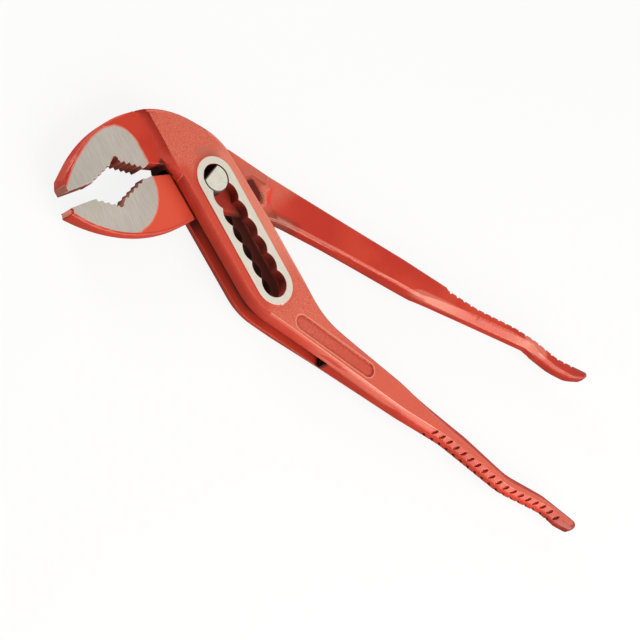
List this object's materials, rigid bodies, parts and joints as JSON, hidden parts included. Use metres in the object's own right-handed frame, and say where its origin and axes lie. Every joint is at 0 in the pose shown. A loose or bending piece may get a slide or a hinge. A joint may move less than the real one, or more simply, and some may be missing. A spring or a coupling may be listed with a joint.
{
  "type": "water pump pliers",
  "caption": "Water pump pliers with a box joint: a flatted pin in a scalloped slot sets the jaw width, toothed V jaws grip pipes and nuts, and the lacquered handles end in notched grips.",
  "frame": {"origin": "centre of the pin's rear end face, in the plane of the rear rim of the slot, on which the tool lies", "axes": "+X towards the ends of the handles, +Z along the pin to the front of the tool, +Y towards the upper handle"},
  "size_m": [0.2416, 0.0658, 0.0138],
  "materials": {
    "slotted_lever_lacquer": "semi-gloss red lacquer over a forging, ground bare on the jaw faces and the slot rim",
    "through_lever_lacquer": "semi-gloss red lacquer over a forging, ground bare on the jaw faces",
    "pin_steel": "ground bright on the end faces"
  },
  "bodies": {
    "slotted_half": {"slotted_lever": "slotted_lever_lacquer"},
    "pin": {"joint_pin": "pin_steel"},
    "through_half": {"through_lever": "through_lever_lacquer"}
  },
  "joints": [
    {"name": "notch_shift", "type": "slide", "parent": "slotted_half", "child": "pin", "axis": [0.8192, -0.5736, 0], "range_m": [0, 0.042]},
    {"name": "lever_swing", "type": "hinge", "parent": "pin", "child": "through_half", "pos_m": [0, 0, 0.0069], "axis": [0, 0, 1], "range_deg": [-5, 72]}
  ]
}
